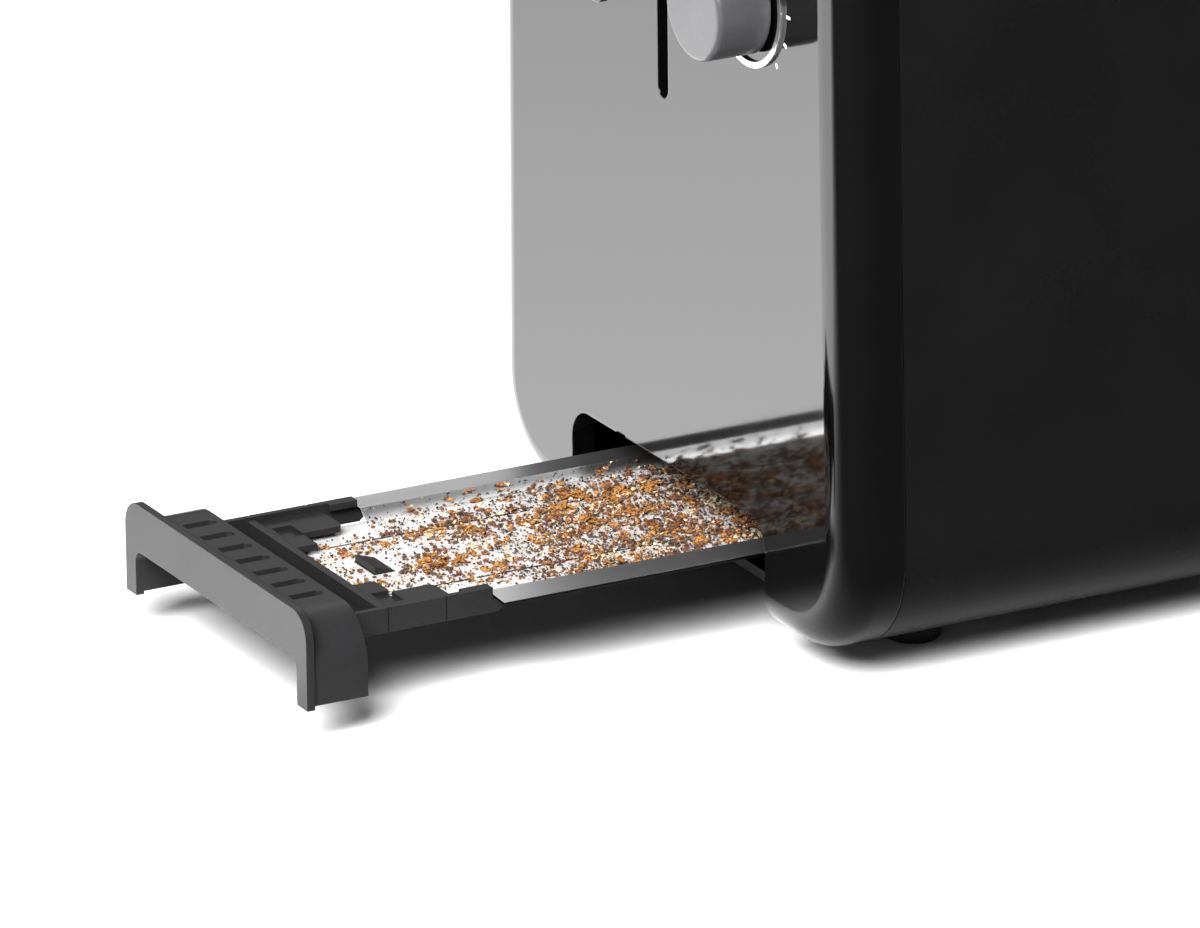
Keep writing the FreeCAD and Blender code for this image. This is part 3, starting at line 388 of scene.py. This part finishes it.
# How crumbs thicken towards the mouth and gather in clumps.
DRAWS_PER_CRUMB = 6
FRONT_SHARE = 0.36
ADDED_SHARE = 0.64
CRUMBS_PER_CLUMP = 26
LEAST_CLUMPS = 12
CLUMP_EDGE = 28
CLUMP_LONG = 2.4
CLUMP_WIDE = 1.7
SINK = 0.05
CRUMB_ROUGHNESS = 0.75


def unit_solid(subdivisions):
    """Corners and faces of a small ball, as arrays."""
    if subdivisions == 0:
        points = np.array([(1, 0, 0), (-1, 0, 0), (0, 1, 0), (0, -1, 0), (0, 0, 1), (0, 0, -1)],
                          float)
        faces = [(0, 2, 4), (2, 1, 4), (1, 3, 4), (3, 0, 4),
                 (2, 0, 5), (1, 2, 5), (3, 1, 5), (0, 3, 5)]
        return points, np.array(faces)
    shape = bmesh.new()
    bmesh.ops.create_icosphere(shape, subdivisions=subdivisions, radius=1)
    points = np.array([vertex.co[:] for vertex in shape.verts])
    faces = np.array([[vertex.index for vertex in face.verts] for face in shape.faces])
    shape.free()
    return points, faces


def pan_height(across):
    """Height of the pan's surface, in millimetres, so far off the middle."""
    over = np.clip(np.abs(across) - FLOOR_EDGE, 0, FLANGE_EDGE - FLOOR_EDGE)
    return PAN_FLOOR + over * SLOPE


def scatter(rng, count, clumping, front, mouth, rear):
    """Places on the pan, in millimetres, thicker towards the mouth and in clumps."""
    draws = count * DRAWS_PER_CRUMB
    wanted = rng.random(draws)
    along = front + (rear - front) * rng.random(draws)
    share = np.clip((along - front) / (mouth - front), 0, 1)
    keep = wanted < FRONT_SHARE + ADDED_SHARE * share ** 1.2
    along = along[keep][:count]
    across = rng.uniform(CRUMB_NEAR, CRUMB_FAR, len(along))
    clumps = max(count // CRUMBS_PER_CLUMP, LEAST_CLUMPS)
    centre_along = rng.choice(along, clumps)
    centre_across = rng.uniform(-CLUMP_EDGE, CLUMP_EDGE, clumps)
    chosen = rng.integers(0, clumps, len(along))
    near = rng.random(len(along)) < clumping
    drift_along = rng.normal(0, CLUMP_LONG, len(along))
    along = np.where(near, centre_along[chosen] + drift_along, along)
    drift_across = rng.normal(0, CLUMP_WIDE, len(along))
    across = np.where(near, centre_across[chosen] + drift_across, across)
    inside = ((along > front + 0.5) & (along < rear)
              & (across > CRUMB_NEAR) & (across < CRUMB_FAR))
    return along[inside], across[inside]


def crumb_heap(name, rng, count, ball, size, flat, clumping, lift, paint, spans):
    """Many small closed lumps in one piece that rides on the tray."""
    points, faces = unit_solid(ball)
    front, mouth, rear, hook = spans
    along, across = scatter(rng, count, clumping, front, mouth, rear)
    reach = size[1] * 0.4
    clear = ((along < hook[0] - reach) | (along > hook[1] + reach)
             | (across < hook[2] - reach) | (across > hook[3] + reach))
    off = np.abs(across) + reach
    clear &= (off < CLIP_INNER) | (along > front + CLIP_SHORT + reach)
    clear &= (off < CLIP_MIDDLE) | (along > front + CLIP_LONG + reach)
    along, across = along[clear], across[clear]
    total = len(along)
    length = size[0] + (size[1] - size[0]) * rng.random(total) ** 2.2
    width = length * rng.uniform(0.45, 0.95, total)
    height = length * rng.uniform(flat[0], flat[1], total)
    turn = rng.uniform(0, 2 * np.pi, total)
    tilt = rng.normal(0, 0.22, total)
    lumps = np.repeat(points[None], total, 0) * (1 + rng.normal(0, 0.27, (total, len(points), 1)))
    lumps = lumps * np.stack([length, width, height], 1)[:, None, :] / 2
    rise = lumps[..., 2] * np.cos(tilt)[:, None] + lumps[..., 0] * np.sin(tilt)[:, None]
    level = lumps[..., 0] * np.cos(tilt)[:, None] - lumps[..., 2] * np.sin(tilt)[:, None]
    x = level * np.cos(turn)[:, None] - lumps[..., 1] * np.sin(turn)[:, None]
    y = level * np.sin(turn)[:, None] + lumps[..., 1] * np.cos(turn)[:, None]
    thick = np.clip((along - front) / (mouth - front), 0, 1)
    base = pan_height(across) - rise.min(1) - SINK + rng.random(total) * lift * thick
    placed = np.stack([x + along[:, None], y + across[:, None], rise + base[:, None]], 2) * MM
    corners_all = placed.reshape(-1, 3)
    faces_all = (faces[None] + (np.arange(total) * len(points))[:, None, None]).reshape(-1, 3)
    mesh = bpy.data.meshes.new(name)
    mesh.from_pydata(corners_all.tolist(), [], faces_all.tolist())
    mesh.materials.append(paint)
    mesh.update()
    piece = bpy.data.objects.new(name, mesh)
    scene.collection.objects.link(piece)
    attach(piece, "crumb_tray_set")


def crumb_paint(name, pale, dark, patch):
    """Baked crust: two tones that change from crumb to crumb."""
    paint = bpy.data.materials.new(name)
    paint.use_nodes = True
    tree = Nodes(paint.node_tree)
    shader = tree.add("BsdfPrincipled")
    cells = tree.add("TexVoronoi")
    tree.link(tree.place(), cells.inputs["Vector"])
    cells.inputs["Scale"].default_value = patch
    spread = tree.add("SeparateColor")
    tree.link(cells.outputs["Color"], spread.inputs[0])
    crust = tree.ramp(tree.noise(1700, 3), 0.46, 0.58, 0.0, 0.75)
    tone = tree.math("ADD", tree.math("MULTIPLY", spread.outputs[0], 0.5), crust)
    tree.link(tree.mix(tone, (*pale, 1), (*dark, 1)), shader.inputs["Base Color"])
    shader.inputs["Roughness"].default_value = CRUMB_ROUGHNESS
    bump = tree.add("Bump")
    bump.inputs["Strength"].default_value = 0.6
    bump.inputs["Distance"].default_value = 0.12 * MM
    tree.link(tree.noise(2600, 3), bump.inputs["Height"])
    tree.link(bump.outputs[0], shader.inputs["Normal"])
    tree.link(shader.outputs[0], tree.add("OutputMaterial").inputs["Surface"])
    return paint


def make_crumbs():
    rng = np.random.default_rng(SEED)
    pan_low, pan_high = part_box("crumb_tray")
    mouth_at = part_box("front_end_cap")[0].x / MM
    front = pan_low.x / MM + FRONT_CLEAR
    tongue_low, tongue_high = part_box("tray_tongue")
    hook = (tongue_high.x / MM - TONGUE_HOOK, tongue_high.x / MM + TONGUE_CLEAR,
            tongue_low.y / MM - TONGUE_CLEAR, tongue_high.y / MM + TONGUE_CLEAR)
    spans = (front, mouth_at, pan_high.x / MM - REAR_CLEAR, hook)
    golden = crumb_paint("crumb_golden", (0.40, 0.165, 0.028), (0.040, 0.012, 0.004), 420)
    brown = crumb_paint("crumb_brown", (0.17, 0.052, 0.010), (0.018, 0.007, 0.004), 800)
    burnt = crumb_paint("crumb_burnt", (0.022, 0.010, 0.006), (0.004, 0.003, 0.003), 900)
    pale = crumb_paint("crumb_pale", (0.60, 0.52, 0.37), (0.38, 0.235, 0.09), 800)
    crumb_heap("crumbs_flakes", rng, 380, 2, (1.4, 4.0), (0.12, 0.28), 0.4, 0.4, golden, spans)
    crumb_heap("crumbs_golden", rng, 4100, 1, (0.4, 2.0), (0.25, 0.6), 0.8, 0.5, golden, spans)
    crumb_heap("crumbs_brown", rng, 6400, 1, (0.3, 1.6), (0.3, 0.7), 0.7, 0.6, brown, spans)
    crumb_heap("crumbs_burnt", rng, 14500, 0, (0.22, 1.0), (0.4, 0.8), 0.45, 0.6, burnt, spans)
    crumb_heap("crumbs_pale", rng, 3000, 1, (0.35, 1.3), (0.3, 0.7), 0.5, 0.6, pale, spans)


# ---------------------------------------------------------------- small extra pieces

TICK_COUNT = 13
TICK_TURN = 270


def make_dial_marks():
    """Short raised marks round the browning dial, longer towards the dark end."""
    low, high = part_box("dial_ring")
    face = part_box("front_end_cap")[0].x
    middle = (low + high) / 2
    inner = (high.y - low.y) / 2 + 1.4 * MM
    points, faces = [], []
    for step in range(TICK_COUNT):
        share = step / (TICK_COUNT - 1)
        turn = math.radians(-TICK_TURN / 2 + TICK_TURN * share)
        outward = Vector((0, math.sin(turn), math.cos(turn)))
        sideways = Vector((0, math.cos(turn), -math.sin(turn)))
        reach = (1.2 + 2.2 * share) * MM
        half = 0.35 * MM
        base = Vector((0, middle.y, middle.z)) + outward * inner
        start = len(points)
        for depth in (face + 0.02 * MM, face - 0.12 * MM):
            for along, side in ((0, -half), (reach, -half), (reach, half), (0, half)):
                points.append(base + outward * along + sideways * side + Vector((depth, 0, 0)))
        faces += [[start + corner for corner in quad] for quad in (
            (0, 1, 2, 3), (7, 6, 5, 4), (0, 4, 5, 1), (1, 5, 6, 2), (2, 6, 7, 3), (3, 7, 4, 0))]
    mesh = bpy.data.meshes.new("dial_marks")
    mesh.from_pydata(points, [], faces)
    mesh.update()
    piece = bpy.data.objects.new("dial_marks", mesh)
    scene.collection.objects.link(piece)
    mesh.materials.append(bpy.data.materials["pointer_white"])
    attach(piece, "housing")


SPRING_TURNS = 10
STEPS_PER_TURN = 24
WIRE_SIDES = 8
SPRING_WIRE = 0.5 * MM


def make_return_spring():
    """The coil under the carriage, drawn as a fixed helix in place of the imported spring part.
    """
    low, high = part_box("return_spring")
    middle = (low + high) / 2
    radius = (high.x - low.x) / 2 - SPRING_WIRE
    rise = high.z - low.z - 2 * SPRING_WIRE
    steps, sides = SPRING_TURNS * STEPS_PER_TURN, WIRE_SIDES
    points = []
    for step in range(steps + 1):
        turn = math.tau * SPRING_TURNS * step / steps
        outward = Vector((math.cos(turn), math.sin(turn), 0))
        centre = Vector((middle.x, middle.y, low.z + SPRING_WIRE + rise * step / steps))
        for side in range(sides):
            angle = math.tau * side / sides
            reach = outward * (radius + math.cos(angle) * SPRING_WIRE)
            points.append(centre + reach + Vector((0, 0, math.sin(angle) * SPRING_WIRE)))
    faces = []
    for step in range(steps):
        for side in range(sides):
            here, after = step * sides + side, step * sides + (side + 1) % sides
            faces.append((here, here + sides, after + sides, after))
    faces.append(tuple(range(sides)))
    faces.append(tuple(reversed(range(steps * sides, (steps + 1) * sides))))
    mesh = bpy.data.meshes.new("return_spring_coil")
    mesh.from_pydata(points, [], faces)
    mesh.update()
    mesh.materials.append(bpy.data.materials["spring_steel"])
    piece = bpy.data.objects.new("return_spring_coil", mesh)
    scene.collection.objects.link(piece)
    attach(piece, "housing")
    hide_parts("return_spring")
    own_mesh(piece)


make_camera()
make_studio()
dress_frame()
make_crumbs()
make_dial_marks()
make_return_spring()
